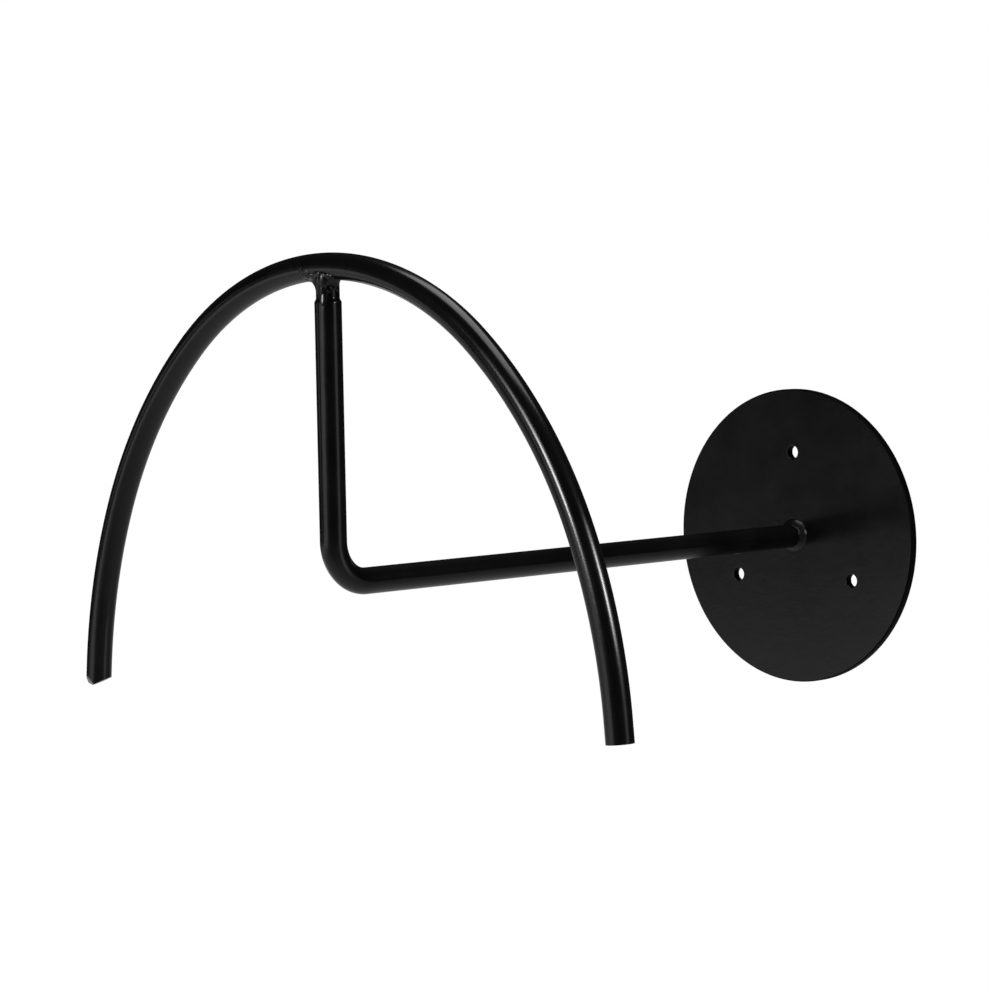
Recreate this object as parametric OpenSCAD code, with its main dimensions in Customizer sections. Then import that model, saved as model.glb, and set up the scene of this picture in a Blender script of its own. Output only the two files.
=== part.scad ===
// Wall-mounted saddle rack, welded from round steel bar and a round steel plate.
// The origin is the middle of the plate's back face, which lies on the wall.
// +Z is up and the rack stands out from the wall towards -Y.

/* [Bar] */
// Diameter of the round bar that the arm and the arch are bent from
bar_d = 16; // [14:0.5:20]
// Width of the chamfer on each cut end of the bar
bar_chamfer = 1; // [0.4:0.1:1.6]

/* [Wall plate] */
// Diameter of the round plate
plate_d = 200; // [170:5:260]
// Thickness of the plate
plate_t = 6; // [4:0.5:10]
// Width of the chamfer round the plate's two edges
plate_chamfer = 0.8; // [0.3:0.1:1.5]
// Number of screw holes, equally spaced, with one at the top
screw_holes = 3; // [2:1:8]
// Diameter of the circle through the middles of the screw holes
screw_circle_d = 114; // [80:2:140]
// Diameter of each screw hole
screw_hole_d = 9; // [6:0.5:12]
// Width of the chamfer on the front edge of each screw hole
screw_hole_chamfer = 0.5; // [0.2:0.1:1]

/* [Arm] */
// Distance from the wall to the axis of the upright post
arm_reach = 430; // [250:5:600]
// Radius of the bend from the arm into the post, to the middle of the bar
bend_r = 25; // [14:1:40]
// Height of the middle of the arch bar above the middle of the arm, at the crown
post_h = 186; // [140:2:260]
// Diameter of the neck that is turned down on the top end of the post
neck_d = 14; // [10:0.5:14]
// Length of the neck between the post's shoulder and the underside of the arch
neck_l = 11; // [11:1:20]

/* [Arch] */
// Radius of the crown, to the middle of the bar
crown_r = 190; // [120:5:300]
// Angle that the crown turns through on each side of the middle
crown_a = 40; // [20:1:45]
// Radius of each shoulder of the arch
shoulder_r = 275; // [150:5:400]
// Angle that each shoulder turns through
shoulder_a = 27; // [10:1:30]
// Radius of each leg of the arch
leg_r = 335; // [200:5:500]
// Angle that each leg turns through
leg_a = 18; // [5:1:20]
// Length of the straight piece at the lower end of each leg
leg_end_l = 12; // [6:1:30]

/* [Welds] */
// Radius of the bead section round the foot of the arm
foot_bead_r = 3.4; // [2.6:0.2:5]
// Radius of the bead section round the head of the post
head_bead_r = 3.6; // [3.2:0.2:4.4]
// Radius of the hollow fillet on each side of the neck, under the arch
head_fillet_r = 9; // [6:0.5:10]
// Thickness of that fillet across the arch
head_fillet_w = 11; // [8:0.5:12]

/* [Hidden] */
$fn = 200;
bar_r = bar_d / 2;
plate_r = plate_d / 2;
neck_r = neck_d / 2;
cut = 1;
// Each second length of the arch runs into its neighbours by the lap, and is thinner by the slip
joint_lap = 1;
joint_slip = 0.05;
coat = [0.07, 0.07, 0.075];
bead_coat = [0.1, 0.1, 0.105];
// Heights on the post
shoulder_z = post_h - bar_r - neck_l;
neck_top_z = post_h - bar_r + neck_r - 2;
// The fillet's round starts a little inside the neck, so that it meets the neck at an angle
fillet_centre = 0.94 * head_fillet_r;
// Turn from the crown's middle to each joint between two arcs
turn_1 = crown_a;
turn_2 = crown_a + shoulder_a;
turn_3 = crown_a + shoulder_a + leg_a;
// Centres of the arcs, as [x, z]; neighbouring arcs share a tangent
crown_c = [0, post_h - crown_r];
shoulder_c = crown_c + (crown_r - shoulder_r) * [sin(turn_1), cos(turn_1)];
leg_c = shoulder_c + (shoulder_r - leg_r) * [sin(turn_2), cos(turn_2)];
leg_foot = leg_c + leg_r * [sin(turn_3), cos(turn_3)];

// A round bar with a chamfer on its far end, from the origin along +Z
module cut_bar(length, radius = bar_r) {
    cylinder(h = length - bar_chamfer, r = radius);
    translate([0, 0, length - bar_chamfer])
        cylinder(h = bar_chamfer, r1 = radius, r2 = radius - bar_chamfer);
}

// A length of bar bent to a radius, in the plane of the arch
module arch_arc(centre, radius, from_turn, to_turn, slip = 0) {
    lap_a = slip > 0 ? joint_lap / radius * 180 / PI : 0;
    translate([centre[0], -arm_reach, centre[1]])
        rotate([90, 0, 0])
            rotate_extrude(
                angle = to_turn - from_turn + 2 * lap_a,
                start = 90 - to_turn - lap_a
            )
                translate([radius, 0])
                    circle(r = bar_r - slip);
}

// One side of the arch, below the crown
module arch_side() {
    arch_arc(shoulder_c, shoulder_r, turn_1, turn_2, joint_slip);
    arch_arc(leg_c, leg_r, turn_2, turn_3);
    translate([leg_foot[0], -arm_reach, leg_foot[1]])
        rotate([0, 90 + turn_3, 0])
            translate([0, 0, -joint_lap])
                cut_bar(leg_end_l + joint_lap, bar_r - joint_slip);
}

// The crown of the arch
module arch_crown() {
    arch_arc(crown_c, crown_r, -turn_1, turn_1);
}

// The neck on the post, up into the arch
module neck_core() {
    translate([0, -arm_reach, shoulder_z - cut])
        cylinder(h = neck_top_z - shoulder_z + cut, r = neck_r);
}

module wall_plate() {
    color(coat)
        rotate([90, 0, 0])
            difference() {
                rotate_extrude()
                    polygon([
                        [0, 0],
                        [plate_r - plate_chamfer, 0],
                        [plate_r, plate_chamfer],
                        [plate_r, plate_t - plate_chamfer],
                        [plate_r - plate_chamfer, plate_t],
                        [0, plate_t]
                    ]);
                for (i = [0 : screw_holes - 1])
                    rotate([0, 0, 90 + i * 360 / screw_holes])
                        translate([screw_circle_d / 2, 0, 0]) {
                            translate([0, 0, -cut])
                                cylinder(h = plate_t + 2 * cut, d = screw_hole_d);
                            translate([0, 0, plate_t - screw_hole_chamfer])
                                cylinder(
                                    h = 2 * screw_hole_chamfer,
                                    d1 = screw_hole_d,
                                    d2 = screw_hole_d + 4 * screw_hole_chamfer
                                );
                        }
            }
}

module arm_bar() {
    color(coat) {
        // Straight arm, from the plate to the bend
        translate([0, -plate_t, 0])
            rotate([90, 0, 0])
                cylinder(h = arm_reach - bend_r - plate_t, r = bar_r);
        // Bend from the arm up into the post
        translate([0, bend_r - arm_reach, bend_r])
            rotate([0, -90, 0])
                rotate_extrude(angle = 90, start = 180)
                    translate([bend_r, 0])
                        circle(r = bar_r);
        // Post, with a chamfered shoulder
        translate([0, -arm_reach, bend_r])
            cut_bar(shoulder_z - bend_r);
        // Neck, shaped to the underside of the arch
        difference() {
            neck_core();
            arch_crown();
        }
    }
}

module arch_bar() {
    color(coat) {
        arch_crown();
        arch_side();
        mirror([1, 0, 0])
            arch_side();
    }
}

module arm_foot_weld() {
    color(bead_coat)
        translate([0, -plate_t, 0])
            rotate([90, 0, 0])
                difference() {
                    rotate_extrude()
                        translate([bar_r + foot_bead_r / 5, foot_bead_r / 5])
                            circle(r = foot_bead_r);
                    translate([0, 0, -2 * foot_bead_r])
                        cylinder(h = 4 * foot_bead_r, r = bar_r);
                    translate([0, 0, -2 * foot_bead_r])
                        cylinder(h = 2 * foot_bead_r, r = bar_r + 2 * foot_bead_r);
                }
}

module post_head_weld() {
    color(bead_coat)
        difference() {
            translate([0, -arm_reach, post_h - bar_r]) {
                // Bead all round the neck
                translate([0, 0, neck_r / 8])
                    rotate_extrude()
                        translate([neck_r - head_bead_r / 5, 0])
                            circle(r = head_bead_r);
                // Hollow fillet to the left and the right
                intersection() {
                    rotate_extrude()
                        difference() {
                            translate([neck_r / 2, -head_fillet_r])
                                square([neck_r / 2 + head_fillet_r, head_fillet_r + bar_r / 4]);
                            translate([neck_r + fillet_centre, -head_fillet_r])
                                circle(r = head_fillet_r);
                        }
                    translate([-2 * plate_r, -head_fillet_w / 2, -2 * head_fillet_r])
                        cube([4 * plate_r, head_fillet_w, 4 * head_fillet_r]);
                }
            }
            neck_core();
            arch_crown();
        }
}

wall_plate();
arm_bar();
arch_bar();
arm_foot_weld();
post_head_weld();
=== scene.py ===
import math

import bmesh
import bpy
from mathutils import Matrix, Vector, noise


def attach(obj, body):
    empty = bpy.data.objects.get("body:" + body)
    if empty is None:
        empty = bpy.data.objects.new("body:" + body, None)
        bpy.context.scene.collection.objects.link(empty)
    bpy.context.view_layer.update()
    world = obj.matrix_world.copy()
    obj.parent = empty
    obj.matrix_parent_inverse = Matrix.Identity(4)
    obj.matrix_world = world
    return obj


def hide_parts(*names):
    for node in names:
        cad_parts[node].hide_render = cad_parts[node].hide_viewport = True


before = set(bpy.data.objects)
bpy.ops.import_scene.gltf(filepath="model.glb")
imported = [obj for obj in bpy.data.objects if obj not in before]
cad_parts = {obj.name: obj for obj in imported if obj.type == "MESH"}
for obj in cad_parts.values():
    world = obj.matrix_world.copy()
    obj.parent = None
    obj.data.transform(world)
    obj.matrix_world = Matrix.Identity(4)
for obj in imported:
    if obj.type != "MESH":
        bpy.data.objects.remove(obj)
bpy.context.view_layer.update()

# Sizes in metres, the same as in the CAD
MM = 0.001
BAR_R = 8 * MM
PLATE_R = 100 * MM
PLATE_T = 6 * MM
HOLES = 3
HOLE_R = 4.5 * MM
HOLE_CIRCLE_R = 57 * MM
REACH = 430 * MM
BEND_R = 25 * MM
POST_H = 186 * MM
NECK_R = 7 * MM
NECK_L = 11 * MM
SHOULDER_Z = POST_H - BAR_R - NECK_L
# The arch's arcs, from the crown down: radius, and the angle in degrees that it turns through
ARCS = [(190 * MM, 40), (275 * MM, 27), (335 * MM, 18)]
CROWN_R = ARCS[0][0]
LEG_END = 12 * MM
# Radii of the rounded edges of the plate and its holes, and the flat ring left beside each of them
PLATE_EDGE_R = 0.8 * MM
HOLE_EDGE_R = 0.45 * MM
FLAT_RING = 0.3 * MM
# Points round a bar
SEGS = 72

X, Y, Z = Vector((1, 0, 0)), Vector((0, 1, 0)), Vector((0, 0, 1))
OFF_WALL = Vector((0, -1, 0))
# Directions on the side of the post that faces the front and the right: along it, and out of it
ACROSS = Vector((0.712, 0.702, 0))
FRONT = Vector((0.702, -0.712, 0))
POST_FOOT = Vector((0, -REACH, 0))


# ---------------------------------------------------------------- materials
def new_material(name):
    mat = bpy.data.materials.new(name)
    mat.use_nodes = True
    nt = mat.node_tree
    nt.nodes.clear()
    out = nt.nodes.new("ShaderNodeOutputMaterial")
    bsdf = nt.nodes.new("ShaderNodeBsdfPrincipled")
    nt.links.new(bsdf.outputs[0], out.inputs[0])
    return mat, nt, bsdf


def add_noise(nt, vector, scale, detail=3.0, rough=0.5):
    n = nt.nodes.new("ShaderNodeTexNoise")
    n.inputs["Scale"].default_value = scale
    n.inputs["Detail"].default_value = detail
    n.inputs["Roughness"].default_value = rough
    nt.links.new(vector, n.inputs["Vector"])
    return n.outputs["Fac"]


def remap(nt, value, lo_in, hi_in, lo_out, hi_out):
    m = nt.nodes.new("ShaderNodeMapRange")
    m.inputs["From Min"].default_value = lo_in
    m.inputs["From Max"].default_value = hi_in
    m.inputs["To Min"].default_value = lo_out
    m.inputs["To Max"].default_value = hi_out
    nt.links.new(value, m.inputs["Value"])
    return m.outputs["Result"]


def shade_between(nt, value, dark, light):
    """A colour that goes from dark to light over the middle of a noise's range."""
    r = nt.nodes.new("ShaderNodeValToRGB")
    ends = r.color_ramp.elements
    ends[0].position, ends[0].color = 0.3, (*dark, 1)
    ends[1].position, ends[1].color = 0.7, (*light, 1)
    nt.links.new(value, r.inputs["Fac"])
    return r.outputs["Color"]


def bump(nt, height, strength, distance, normal=None):
    b = nt.nodes.new("ShaderNodeBump")
    b.inputs["Strength"].default_value = strength
    b.inputs["Distance"].default_value = distance
    nt.links.new(height, b.inputs["Height"])
    if normal is not None:
        nt.links.new(normal, b.inputs["Normal"])
    return b.outputs["Normal"]


def powder_coat(name, dark, light, rough, peel, peel_depth, grain_depth, mottle):
    """Black powder coat: orange peel in the film, fine grain under it, and patches a little duller.

    peel and mottle are the noise scales of the orange peel and the patches. The depths are in metres.
    """
    mat, nt, bsdf = new_material(name)
    co = nt.nodes.new("ShaderNodeTexCoord").outputs["Object"]
    patches = add_noise(nt, co, mottle, 3.0, 0.55)
    grain = add_noise(nt, co, 480.0, 2.0, 0.5)
    skin = add_noise(nt, co, peel, 2.0, 0.45)
    nt.links.new(shade_between(nt, patches, dark, light), bsdf.inputs["Base Color"])
    nt.links.new(remap(nt, patches, 0.3, 0.7, *rough), bsdf.inputs["Roughness"])
    fine = bump(nt, grain, 0.8, grain_depth)
    nt.links.new(bump(nt, skin, 1.0, peel_depth, fine), bsdf.inputs["Normal"])
    bsdf.inputs["Specular IOR Level"].default_value = 0.5
    bsdf.inputs["IOR"].default_value = 1.5
    return mat


def cut_edge_painted_shade():
    """The plate's cut edge, with painted shade: a near-black colour, darker than the plate's coat and barely
    reflecting, over fine marks that run through the thickness, so that the rim and its rounded edges look
    shaded black.
    """
    mat, nt, bsdf = new_material("plate_edge_painted_shade")
    tc = nt.nodes.new("ShaderNodeTexCoord")
    stretch = nt.nodes.new("ShaderNodeMapping")
    stretch.inputs["Scale"].default_value = (1.0, 0.08, 1.0)
    nt.links.new(tc.outputs["Object"], stretch.inputs["Vector"])
    marks = add_noise(nt, stretch.outputs["Vector"], 1100.0, 2.0, 0.5)
    patches = add_noise(nt, tc.outputs["Object"], 60.0, 3.0, 0.6)
    # Painted shade: a near-black colour, darker than the plate's coat
    shade = shade_between(nt, patches, (0.0010, 0.0010, 0.0010), (0.0022, 0.0022, 0.0022))
    nt.links.new(shade, bsdf.inputs["Base Color"])
    nt.links.new(remap(nt, marks, 0.3, 0.7, 0.38, 0.55), bsdf.inputs["Roughness"])
    nt.links.new(bump(nt, marks, 0.6, 0.00012), bsdf.inputs["Normal"])
    bsdf.inputs["Specular IOR Level"].default_value = 0.04
    return mat


bar_coat = powder_coat(
    "bar_coat", dark=(0.0018, 0.0018, 0.0020), light=(0.0040, 0.0040, 0.0043), rough=(0.17, 0.23),
    peel=130.0, peel_depth=0.000022, grain_depth=0.000015, mottle=30.0,
)
weld_coat = powder_coat(
    "weld_coat", dark=(0.0030, 0.0030, 0.0033), light=(0.0080, 0.0080, 0.0085), rough=(0.24, 0.34),
    peel=420.0, peel_depth=0.00002, grain_depth=0.00003, mottle=90.0,
)
plate_coat = powder_coat(
    "plate_coat", dark=(0.0018, 0.0018, 0.0020), light=(0.0038, 0.0038, 0.0041), rough=(0.205, 0.245),
    peel=130.0, peel_depth=0.00005, grain_depth=0.00004, mottle=45.0,
)
# Painted shade for the plate's rim and hole walls: darker than the plate's coat and barely reflecting
edge_painted_shade = cut_edge_painted_shade()


# ---------------------------------------------------------------- mesh tools
def add_object(bm, name, mats):
    me = bpy.data.meshes.new(name)
    bm.to_mesh(me)
    bm.free()
    for m in mats:
        me.materials.append(m)
    ob = bpy.data.objects.new(name, me)
    bpy.context.scene.collection.objects.link(ob)
    return ob


def finish_piece(bm, name, mats, node, smooth_angle):
    """Turns a mesh into a piece that stands for a CAD node."""
    bmesh.ops.recalc_face_normals(bm, faces=bm.faces)
    ob = add_object(bm, name, mats)
    ob.data.shade_smooth()
    ob.data.set_sharp_from_angle(angle=math.radians(smooth_angle))
    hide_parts(node)
    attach(ob, "root")


def sweep(bm, stations):
    """A closed bar along a path. A station is (centre, side, up, radius or a function of the angle)."""
    rings = []
    for centre, side, up, radius in stations:
        ring = []
        for i in range(SEGS):
            a = 2 * math.pi * i / SEGS
            r = radius(a) if callable(radius) else radius
            ring.append(bm.verts.new(centre + side * (r * math.cos(a)) + up * (r * math.sin(a))))
        rings.append(ring)
    for a, b in zip(rings, rings[1:]):
        for i in range(SEGS):
            j = (i + 1) % SEGS
            bm.faces.new((a[i], a[j], b[j], b[i]))
    bm.faces.new(rings[0][::-1])
    bm.faces.new(rings[-1])


def cut(bm, point, normal, near=60 * MM):
    """Cuts off what lies on the normal's side of a plane, close to a point, and returns the new face."""
    faces = [f for f in bm.faces if (f.calc_center_median() - point).length < near]
    edges = {e for f in faces for e in f.edges}
    verts = {v for f in faces for v in f.verts}
    res = bmesh.ops.bisect_plane(
        bm, geom=[*verts, *edges, *faces], dist=1e-7, plane_co=point, plane_no=normal, clear_outer=True,
    )
    loop = [g for g in res["geom_cut"] if isinstance(g, bmesh.types.BMEdge)]
    return bmesh.ops.contextual_create(bm, geom=loop)["faces"]


def round_edges(bm, faces, width, segments):
    edges = list({e for f in faces if f.is_valid for e in f.edges})
    bmesh.ops.bevel(
        bm, geom=edges, offset=width, segments=segments, profile=0.5, affect="EDGES", clamp_overlap=True,
    )


# ---------------------------------------------------------------- wall plate
def rounded_outline(face_r, edge_r, steps, sign):
    """Outline across the plate's thickness at a rim (sign 1) or a hole (sign -1): (radius, depth).

    The first and last points lie a little way in on the two flat faces, to keep their shading flat.
    """
    middle_r = face_r - sign * edge_r
    flat_r = middle_r - sign * FLAT_RING
    turns = [math.radians(90 * i / steps) for i in range(steps + 1)]
    back = [(middle_r + sign * edge_r * math.sin(a), edge_r - edge_r * math.cos(a)) for a in turns]
    front_z = PLATE_T - edge_r
    front = [(middle_r + sign * edge_r * math.cos(a), front_z + edge_r * math.sin(a)) for a in turns]
    return [(flat_r, 0.0)] + back + front + [(flat_r, PLATE_T)]


def revolve(bm, outline, cx, cz, points, painted_shade_bands):
    """Turns an outline round an axis square to the plate. The bands listed in the last argument get the cut
    edge's painted shade, a near-black coat that barely reflects.
    """
    rings = []
    for radius, depth in outline:
        ring = []
        for i in range(points):
            a = 2 * math.pi * i / points
            ring.append(bm.verts.new((cx + radius * math.cos(a), -depth, cz + radius * math.sin(a))))
        rings.append(ring)
    for k, (a, b) in enumerate(zip(rings, rings[1:])):
        for i in range(points):
            j = (i + 1) % points
            face = bm.faces.new((a[i], b[i], b[j], a[j]))
            face.material_index = 1 if k in painted_shade_bands else 0
    return rings


def wall_plate():
    bm = bmesh.new()
    # The rim. Its painted shade, the near-black edge coat that barely reflects, lies on the rounded edges as
    # well as on the wall between them.
    rim = rounded_outline(PLATE_R, PLATE_EDGE_R, 5, 1)
    surfaces = [revolve(bm, rim, 0, 0, 240, range(1, len(rim) - 2))]
    # Screw holes, with a small rounded edge on both faces. The same painted-shade edge coat is on their wall
    # alone.
    hole = rounded_outline(HOLE_R, HOLE_EDGE_R, 3, -1)
    for h in range(HOLES):
        t = math.radians(90 + 360 / HOLES * h)
        cx, cz = HOLE_CIRCLE_R * math.cos(t), HOLE_CIRCLE_R * math.sin(t)
        surfaces.append(revolve(bm, hole, cx, cz, 64, [len(hole) // 2 - 1]))
    # The two flat faces
    for k in (0, -1):
        edges = set()
        for rings in surfaces:
            ring = rings[k]
            for i in range(len(ring)):
                edges.add(bm.edges.get((ring[i], ring[(i + 1) % len(ring)])))
        bmesh.ops.triangle_fill(bm, use_beauty=True, edges=list(edges))
    finish_piece(bm, "wall_plate_coated", [plate_coat, edge_painted_shade], "wall_plate", 30)


# ---------------------------------------------------------------- arm and post
def bend_radius(turn):
    """Radius of the bar in the bend. The outside of a bend this tight is drawn a little flat."""
    flat = 0.25 * MM * math.sin(2 * turn) ** 2
    return lambda t: BAR_R - flat * max(0.0, -math.sin(t)) ** 3


def shoulder_radius(u):
    """Radius of the post's shoulder at u up it, from 0 to 1: a slope on the right, steep on the left."""
    def radius(t):
        slope = 0.5 + 0.5 * math.cos(t + math.radians(45))
        start, end = 0.30 - 0.30 * slope, 0.62 + 0.38 * slope
        v = min(1.0, max(0.0, (u - start) / (end - start)))
        return BAR_R + (NECK_R - BAR_R) * v * v * (3 - 2 * v)

    return radius


def arm_bar():
    bm = bmesh.new()
    arm_end = -(REACH - BEND_R)
    shoulder_foot, shoulder_h = SHOULDER_Z - 2.6 * MM, 3.6 * MM
    stations = []
    for i in range(61):
        y = -PLATE_T + (arm_end + PLATE_T) * i / 60
        stations.append((Vector((0, y, 0)), X, Z, BAR_R))
    for i in range(1, 23):
        a = math.radians(90 * i / 22)
        out = Vector((0, -math.sin(a), -math.cos(a)))
        stations.append((Vector((0, arm_end, BEND_R)) + out * BEND_R, X, -out, bend_radius(a)))
    for i in range(1, 25):
        z = BEND_R + (shoulder_foot - BEND_R) * i / 24
        stations.append((Vector((0, -REACH, z)), X, Y, BAR_R))
    for i in range(1, 13):
        z = shoulder_foot + shoulder_h * i / 12
        stations.append((Vector((0, -REACH, z)), X, Y, shoulder_radius(i / 12)))
    # The neck, which ends inside the arch
    for up_neck in (3, 5, 7, 9, 10.5, 13.5):
        stations.append((Vector((0, -REACH, SHOULDER_Z + up_neck * MM)), X, Y, NECK_R))
    sweep(bm, stations)
    finish_piece(bm, "arm_bar_coated", [bar_coat], "arm_bar", 40)


# ---------------------------------------------------------------- arch
def arch_path(side):
    """Centre, tangent and outward direction along one half of the arch, from its middle to its end."""
    step = 2.5 * MM
    points = []
    centre, turn = Vector((0, POST_H - CROWN_R)), 0.0
    for k, (radius, angle) in enumerate(ARCS):
        a = math.radians(angle)
        n = max(2, round(radius * a / step))
        for i in range(1 if k else 0, n + 1):
            t = turn + a * i / n
            d = Vector((math.sin(t), math.cos(t)))
            points.append((centre + radius * d, Vector((d.y, -d.x)), d))
        turn += a
        if k + 1 < len(ARCS):
            centre = centre + (radius - ARCS[k + 1][0]) * Vector((math.sin(turn), math.cos(turn)))
    p, t, d = points[-1]
    for i in range(1, 6):
        points.append((p + t * (LEG_END * i / 5), t, d))
    return [
        (Vector((side * p.x, -REACH, p.y)), Vector((side * t.x, 0, t.y)), Vector((side * d.x, 0, d.y)))
        for p, t, d in points
    ]


def arch_bar():
    bm = bmesh.new()
    right, left = arch_path(1), arch_path(-1)
    sweep(bm, [(p, Y, d, BAR_R) for p, t, d in left[::-1] + right[1:]])
    ends = [f for f in bm.faces if len(f.verts) == SEGS]
    right_end = max(ends, key=lambda f: f.calc_center_median().x)
    round_edges(bm, [right_end], 1.3 * MM, 4)
    # The left leg was sawn a little out of square, with one corner knocked off
    p = left[-1][0]
    across = Vector((0.712, 0.702, -0.020))
    up = Vector((-0.030, 0.058, 0.998))
    front = Vector((0.702, -0.710, 0.062))
    tilt = math.radians(24)
    sawn = (-up * math.cos(tilt) + across * math.sin(tilt) + front * 0.04).normalized()
    sawn_face = cut(bm, p - across * 4.6 * MM - up * 1.0 * MM, sawn)
    corner = (-across * 0.80 - up * 0.50 + front * 0.30).normalized()
    corner_face = cut(bm, p - across * BAR_R + up * 4.6 * MM, corner)
    round_edges(bm, list(sawn_face) + list(corner_face), 0.25 * MM, 2)
    finish_piece(bm, "arch_bar_coated", [bar_coat], "arch_bar", 40)


# ---------------------------------------------------------------- weld tools
def crown_mid(x):
    """Height of the middle of the arch's bar, under the crown."""
    return POST_H - (CROWN_R - math.sqrt(CROWN_R ** 2 - x * x))


def crown_under(x, y):
    """Height of the arch's lower surface above a point, or of its side where the point is beyond it."""
    yy = min(abs(y), 0.97 * BAR_R)
    return crown_mid(x) - math.sqrt(BAR_R ** 2 - yy * yy)


def on_arch(x, turn, depth):
    """A point at a depth under the arch's surface. turn is -90 degrees below the bar and -180 in front."""
    r = BAR_R - depth
    return Vector((x, -REACH + r * math.cos(turn), crown_mid(x) + r * math.sin(turn)))


def dab(bm, centre, radii, axes=None):
    """One drop of weld metal: an ellipsoid whose axes are the columns of axes."""
    turn = axes.to_4x4() if axes else Matrix.Identity(4)
    place = Matrix.Translation(centre) @ turn @ Matrix.Diagonal((*radii, 1.0))
    bmesh.ops.create_icosphere(bm, subdivisions=3, radius=1.0, matrix=place)


def columns(a, b, c):
    return Matrix((a, b, c)).transposed()


def jitter(i, k):
    """A repeatable number from -1 to 1."""
    return max(-1.0, min(1.0, 1.9 * noise.noise(Vector((i * 1.731 + 0.37, k * 3.117 + 0.61, 5.23)))))


def fuse(bm, voxel, smooth, ripple, name, node):
    """Melts the drops together into one skin, then lays fine ripples on it."""
    raw = add_object(bm, name + "_raw", [])
    mod = raw.modifiers.new("melt", "REMESH")
    mod.mode = "VOXEL"
    mod.voxel_size = voxel
    bpy.context.view_layer.update()
    melted = bpy.data.meshes.new_from_object(raw.evaluated_get(bpy.context.evaluated_depsgraph_get()))
    bpy.data.objects.remove(raw)
    out = bmesh.new()
    out.from_mesh(melted)
    for _ in range(smooth):
        bmesh.ops.smooth_vert(
            out, verts=out.verts, factor=0.5, use_axis_x=True, use_axis_y=True, use_axis_z=True,
        )
    out.normal_update()
    for v in out.verts:
        h = noise.noise(v.co * 520.0) * 0.6 + noise.noise(v.co * 1300.0 + Vector((4, 1, 7))) * 0.25
        v.co += v.normal * (ripple * h)
    finish_piece(out, name, [weld_coat], node, 180)


# ---------------------------------------------------------------- weld at the foot of the arm
def arm_foot_weld():
    """One run of weld round the arm, laid in short overlapping drops, with its stop a little proud."""
    bm = bmesh.new()
    drops, stop = 34, (4, 5)
    for i in range(drops):
        a = 2 * math.pi * (i + 0.2 * jitter(i, 1)) / drops
        out = Vector((math.cos(a), 0, math.sin(a)))
        along = Vector((-math.sin(a), 0, math.cos(a)))
        size = 1.0 + 0.05 * jitter(i, 2) + (0.10 if i in stop else 0.0)
        lean = (out + OFF_WALL * 1.25).normalized()
        centre = out * (BAR_R + 0.1 * MM) + OFF_WALL * (PLATE_T + 0.7 * MM)
        radii = (2.3 * MM * size, 2.6 * MM, 4.6 * MM * size)
        dab(bm, centre, radii, columns(lean, along, along.cross(lean)))
    fuse(bm, 0.36 * MM, 14, 0.03 * MM, "arm_foot_weld_bead", "arm_foot_weld")


# ---------------------------------------------------------------- weld at the head of the post
def fillet(bm):
    """Hollow fillet all round the neck, wide to the left and small to the right."""
    around, steps = 120, 14
    rings = []
    for i in range(around):
        a = 2 * math.pi * i / around
        ca, sa = math.cos(a), math.sin(a)
        left, right = max(0.0, -ca) ** 1.3, max(0.0, ca) ** 1.6
        reach = 0.7 * MM + 7.8 * MM * left + 2.3 * MM * right
        drop = 2.6 * MM + 7.4 * MM * left + 2.4 * MM * right + 1.2 * MM * max(0.0, -sa)
        hollow = 0.8 * max(left, 0.7 * right)
        x_top = (NECK_R + reach) * ca
        y_top = max(-0.86 * BAR_R, min(0.86 * BAR_R, (NECK_R + reach) * sa))
        z_top = crown_under(x_top, y_top) + 0.6 * MM
        z_neck = crown_under(NECK_R * ca, NECK_R * sa) - drop
        foot = Vector((NECK_R * ca * 0.97, NECK_R * sa * 0.97, z_neck))
        corner = Vector((NECK_R * ca * 1.08, NECK_R * sa * 1.08, z_top - 1.0 * MM))
        top = Vector((x_top, y_top, z_top))
        outline = []
        for k in range(steps + 1):
            u = k / steps
            bent = foot * (1 - u) ** 2 + corner * (2 * u * (1 - u)) + top * u ** 2
            outline.append(foot.lerp(top, u).lerp(bent, hollow))
        # The ring closes inside the arch and the neck
        outline.append((x_top * 0.5, y_top * 0.5, POST_H - BAR_R + 2.0 * MM))
        outline.append((NECK_R * 0.6 * ca, NECK_R * 0.6 * sa, z_neck + 0.4 * MM))
        rings.append([bm.verts.new((x, y - REACH, z)) for x, y, z in outline])
    for i, a in enumerate(rings):
        b = rings[(i + 1) % around]
        for k in range(len(a)):
            j = (k + 1) % len(a)
            bm.faces.new((a[k], b[k], b[j], a[j]))
    bmesh.ops.recalc_face_normals(bm, faces=bm.faces)


def neck_drops(bm):
    """Drops over the front of the neck."""
    axes = columns(ACROSS, FRONT, Z)
    # Offset to the right, height, how far the middle stands out of the neck, and three radii, in mm
    for off, z, proud, ra, rf, rz in (
        (-1.6, 178.6, 0.0, 3.3, 2.3, 5.4),
        (-2.4, 173.0, -0.4, 2.2, 1.6, 3.6),
        (1.9, 179.4, 0.3, 2.8, 2.2, 3.0),
        (-4.8, 177.4, -0.6, 2.0, 1.7, 4.6),
        (4.6, 178.6, -0.5, 2.0, 1.7, 2.6),
        (3.0, 173.2, -0.7, 1.7, 1.4, 1.3),
        (0.9, 171.6, -0.6, 1.6, 1.3, 1.5),
        (5.2, 172.4, -0.6, 1.3, 1.3, 1.5),
        (-5.6, 172.4, -0.9, 1.2, 1.3, 3.0),
    ):
        out = math.sqrt((NECK_R / MM) ** 2 - off ** 2) + proud
        centre = POST_FOOT + ACROSS * off * MM + FRONT * out * MM + Z * (z * MM)
        dab(bm, centre, (ra * MM, rf * MM, rz * MM), axes)


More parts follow.
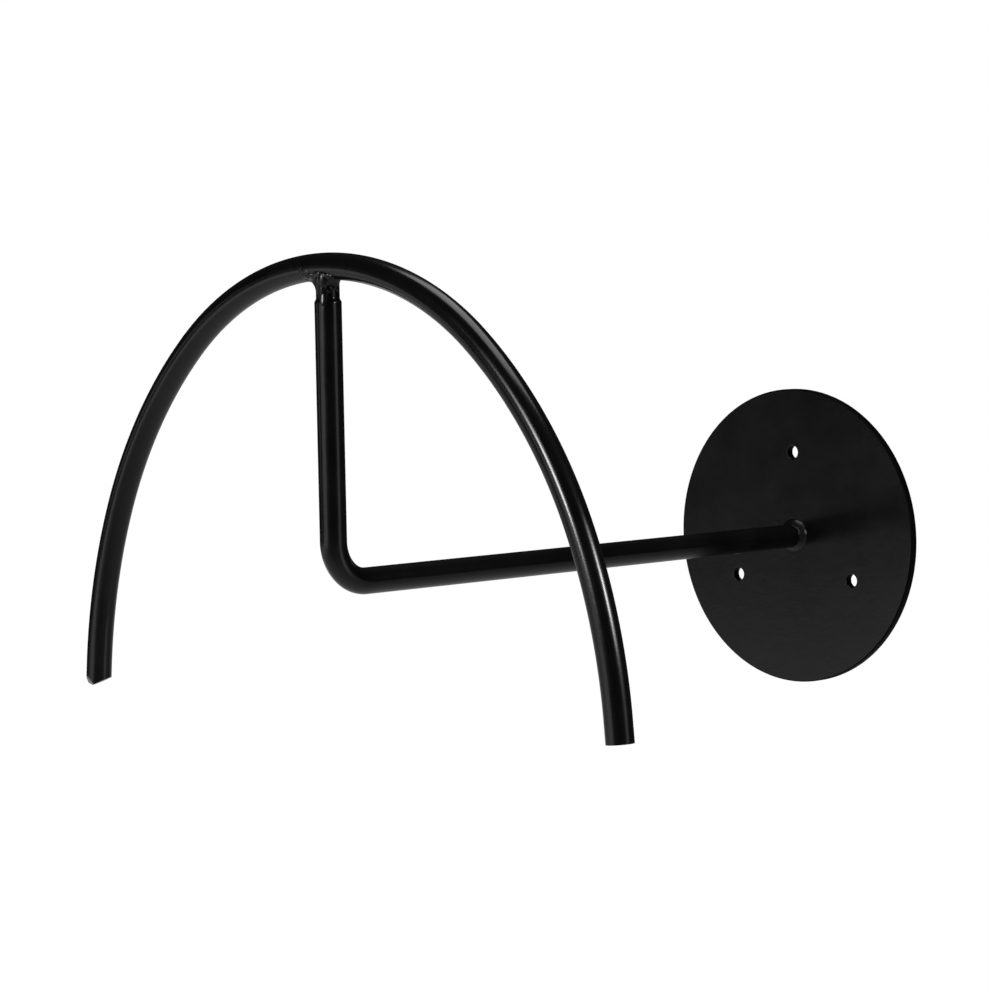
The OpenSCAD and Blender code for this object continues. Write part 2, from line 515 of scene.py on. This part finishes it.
def neck_bead(bm):
    """Bead along the front of the arch's underside, where the neck meets it."""
    for i in range(9):
        x = (-10.5 + 2.3 * i + 0.5 * jitter(i, 4)) * MM
        size = (2.0 + 0.45 * jitter(i, 5)) * MM
        turn = math.radians(-137 + 9 * jitter(i, 6))
        dab(bm, on_arch(x, turn, 0.75 * MM), (1.5 * size, 0.95 * size, 0.85 * size))


def post_run(bm):
    """A run down the front of the post, to the left of its middle, which fills the shoulder there."""
    turn, steps = math.radians(-22), 12
    outward = ACROSS * math.sin(turn) + FRONT * math.cos(turn)
    axes = columns(ACROSS * math.cos(turn) - FRONT * math.sin(turn), outward, Z)
    for k in range(steps + 1):
        u = k / steps
        height = 172.4 + (162.6 - 172.4) * u
        skin = 7.3 + 1.2 * u - 0.5 * max(0.0, u - 0.8) / 0.2
        wide, thick = 2.9 - 0.9 * u ** 2, 1.3 - 0.35 * u ** 2
        centre = POST_FOOT + outward * ((skin - thick) * MM) + Z * (height * MM)
        dab(bm, centre, (wide * MM, thick * MM, 1.7 * MM), axes)


def fillet_toe(bm):
    """Toe of the left fillet, across the arch's underside."""
    for k in range(9):
        x = (-15.2 + 1.1 * math.sin(math.pi * k / 8) + 0.5 * jitter(k, 21)) * MM
        dab(bm, on_arch(x, math.radians(-158 + 13 * k), 0.3 * MM), (1.5 * MM, 1.15 * MM, 0.95 * MM))


def smear(bm):
    """A thin smear over the front of the arch, to the left of the post."""
    for i in range(8):
        x = (-15.0 + 1.9 * i + 0.6 * jitter(i, 10)) * MM
        turn = math.radians(-172 + 9 * i + 14 * jitter(i, 11))
        out = Vector((0, math.cos(turn), math.sin(turn)))
        lean = (X + X.cross(out) * (0.7 + 0.4 * jitter(i, 14))).normalized()
        radii = ((3.4 + 0.8 * jitter(i, 12)) * MM, (1.6 + 0.4 * jitter(i, 13)) * MM, 0.80 * MM)
        centre = Vector((x, -REACH, crown_mid(x))) + out * (BAR_R - 0.42 * MM)
        dab(bm, centre, radii, columns(lean, out.cross(lean), out))


def post_head_weld():
    """The weld under the arch, from its wide hollow fillet to the thin smear over the arch's front."""
    bm = bmesh.new()
    for part in (fillet, neck_drops, neck_bead, post_run, fillet_toe, smear):
        part(bm)
    fuse(bm, 0.34 * MM, 8, 0.035 * MM, "post_head_weld_bead", "post_head_weld")


# ---------------------------------------------------------------- spatter
def spatter():
    """Small beads of spatter, coated over, near the two welds."""
    bm = bmesh.new()
    beads, on_the_arch = 20, 15
    for i in range(beads):
        u = noise.noise_vector(Vector((i * 1.37, 3.1, 7.7)))
        v = noise.noise_vector(Vector((9.3, i * 2.11, 1.9)))
        if i < on_the_arch:
            # To the left of the post, on the arch's front and lower side
            x = -(10 + 26 * abs(u.x)) * MM
            turn = math.radians(-145 + 80 * v.y)
            out = Vector((0, math.cos(turn), math.sin(turn)))
            # One in three is kept off the back
            if i % 3 == 0:
                out = Vector((0, -abs(out.y), out.z)).normalized()
            centre = Vector((x, -REACH, crown_mid(x))) + out * (BAR_R - 0.08 * MM)
        else:
            # On the plate, round the foot of the arm
            a = math.radians(14 * i + 200 * u.y)
            r = (13.5 + 10 * abs(v.x)) * MM
            out = OFF_WALL
            centre = Vector((r * math.cos(a), -PLATE_T + 0.05 * MM, r * math.sin(a)))
        size = (0.22 + 0.42 * abs(u.z)) * MM
        turned = out.to_track_quat("Z", "Y").to_matrix().to_4x4()
        place = Matrix.Translation(centre) @ turned @ Matrix.Diagonal((1.0, 1.15, 0.62, 1.0))
        bmesh.ops.create_icosphere(bm, subdivisions=2, radius=size, matrix=place)
    ob = add_object(bm, "weld_spatter", [weld_coat])
    ob.data.shade_smooth()
    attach(ob, "root")


wall_plate()
arm_bar()
arch_bar()
arm_foot_weld()
post_head_weld()
spatter()


# ---------------------------------------------------------------- stage
scene = bpy.context.scene
scene.view_settings.view_transform = "Standard"
scene.view_settings.look = "None"

WHITE = (1, 1, 1, 1)
FLOOR_Z = -1.0


def disc(name, radius, height):
    """A flat round floor that gives off a plain white light."""
    bm = bmesh.new()
    place = Matrix.Translation((0, -0.2, height))
    bmesh.ops.create_circle(bm, cap_ends=True, radius=radius, segments=128, matrix=place)
    mat, nt, bsdf = new_material(name)
    bsdf.inputs["Base Color"].default_value = (0.02, 0.02, 0.02, 1)
    bsdf.inputs["Roughness"].default_value = 0.9
    bsdf.inputs["Specular IOR Level"].default_value = 0.0
    bsdf.inputs["Emission Color"].default_value = WHITE
    bsdf.inputs["Emission Strength"].default_value = 1.0
    ob = add_object(bm, name, [mat])
    return ob


def shade_floor(ob):
    """Makes the floor's light strongest under the rack, and weaker towards the front and the right."""
    nt = ob.data.materials[0].node_tree
    bsdf = next(n for n in nt.nodes if n.type == "BSDF_PRINCIPLED")
    sep = nt.nodes.new("ShaderNodeSeparateXYZ")
    nt.links.new(nt.nodes.new("ShaderNodeTexCoord").outputs["Object"], sep.inputs[0])
    flat = nt.nodes.new("ShaderNodeCombineXYZ")
    nt.links.new(sep.outputs[0], flat.inputs[0])
    nt.links.new(sep.outputs[1], flat.inputs[1])
    far = nt.nodes.new("ShaderNodeVectorMath")
    far.operation = "LENGTH"
    nt.links.new(flat.outputs[0], far.inputs[0])
    total = remap(nt, far.outputs["Value"], 0.4, 2.6, 0.40, 0.24)
    back = remap(nt, sep.outputs[1], -3.0, 1.5, -0.05, 0.05)
    side = remap(nt, sep.outputs[0], -1.3, 0.9, 0.15, -0.10)
    for part in (back, side):
        add = nt.nodes.new("ShaderNodeMath")
        add.operation = "ADD"
        nt.links.new(total, add.inputs[0])
        nt.links.new(part, add.inputs[1])
        total = add.outputs[0]
    nt.links.new(total, bsdf.inputs["Emission Strength"])


def soft_world():
    """White where the camera sees it, and nearly dark to the rack, so that the black coat stays black."""
    world = bpy.data.worlds.new("studio")
    scene.world = world
    world.use_nodes = True
    nt = world.node_tree
    nt.nodes.clear()
    mix = nt.nodes.new("ShaderNodeMixShader")
    nt.links.new(nt.nodes.new("ShaderNodeLightPath").outputs["Is Camera Ray"], mix.inputs[0])
    for socket, strength in ((1, 0.02), (2, 1.0)):
        background = nt.nodes.new("ShaderNodeBackground")
        background.inputs["Color"].default_value = WHITE
        background.inputs["Strength"].default_value = strength
        nt.links.new(background.outputs[0], mix.inputs[socket])
    out = nt.nodes.new("ShaderNodeOutputWorld")
    nt.links.new(mix.outputs[0], out.inputs[0])


def softbox(name, azimuth, elevation, distance, width, height, radiance):
    """An area light that faces the rack. radiance is what a mirror would show of it.

    Azimuth 0 is in front of the rack and 90 is to its right.
    """
    target = Vector((0.0, -0.33, 0.03))
    a, e = math.radians(azimuth), math.radians(elevation)
    back = Vector((math.sin(a) * math.cos(e), -math.cos(a) * math.cos(e), math.sin(e)))
    data = bpy.data.lights.new(name, "AREA")
    data.shape = "RECTANGLE"
    data.size, data.size_y = width, height
    data.energy = radiance * math.pi * width * height
    ob = bpy.data.objects.new(name, data)
    ob.location = target + back * distance
    ob.rotation_mode = "QUATERNION"
    ob.rotation_quaternion = back.to_track_quat("Z", "Y")
    ob.visible_camera = False
    scene.collection.objects.link(ob)


# The camera sees a white floor. The rack sees a dimmer one just below it.
floor = disc("studio_floor", 7.0, FLOOR_Z)
floor.visible_glossy = floor.visible_diffuse = floor.visible_shadow = False
glow = disc("floor_glow", 6.9, FLOOR_Z - 0.01)
glow.visible_camera = False
shade_floor(glow)
soft_world()

# Name, azimuth, elevation, distance, width, height, radiance
softbox("window_left", -18, -2, 2.4, 1.35, 0.85, 0.76)
softbox("low_left", -43, -14, 2.5, 1.2, 0.66, 0.32)
softbox("strip_left", -57, 3, 2.4, 0.62, 0.40, 0.40)
softbox("side_left", -98, -31, 2.4, 1.5, 0.95, 0.75)
softbox("lamp_left", -2, 16, 2.4, 0.36, 0.42, 26.0)
softbox("lamp_left_halo", -1, 18, 2.4, 0.76, 0.84, 5.2)
softbox("window_right", 104, -8, 2.2, 0.80, 1.7, 0.58)
softbox("lamp_right", 99, 21, 2.4, 0.38, 0.46, 28.0)
softbox("lamp_right_halo", 101, 21, 2.4, 0.84, 0.84, 5.0)
softbox("overhead", 165, 79, 2.2, 1.85, 1.45, 2.6)


# ---------------------------------------------------------------- camera
def add_camera(location, turn, pitch, roll, lens):
    """A camera that looks along +Y, turned to the left, pitched up and rolled by angles in degrees."""
    data = bpy.data.cameras.new("camera")
    data.sensor_width = 36
    data.lens = lens
    data.clip_start, data.clip_end = 0.05, 60
    ob = bpy.data.objects.new("camera", data)
    scene.collection.objects.link(ob)
    scene.camera = ob
    ob.matrix_world = (
        Matrix.Translation(location)
        @ Matrix.Rotation(math.radians(turn), 4, "Z")
        @ Matrix.Rotation(math.radians(90 + pitch), 4, "X")
        @ Matrix.Rotation(math.radians(roll), 4, "Z")
    )


add_camera((1.366619, -1.676491, 0.164984), turn=44.6819, pitch=-3.5471, roll=-1.1254, lens=114.925)
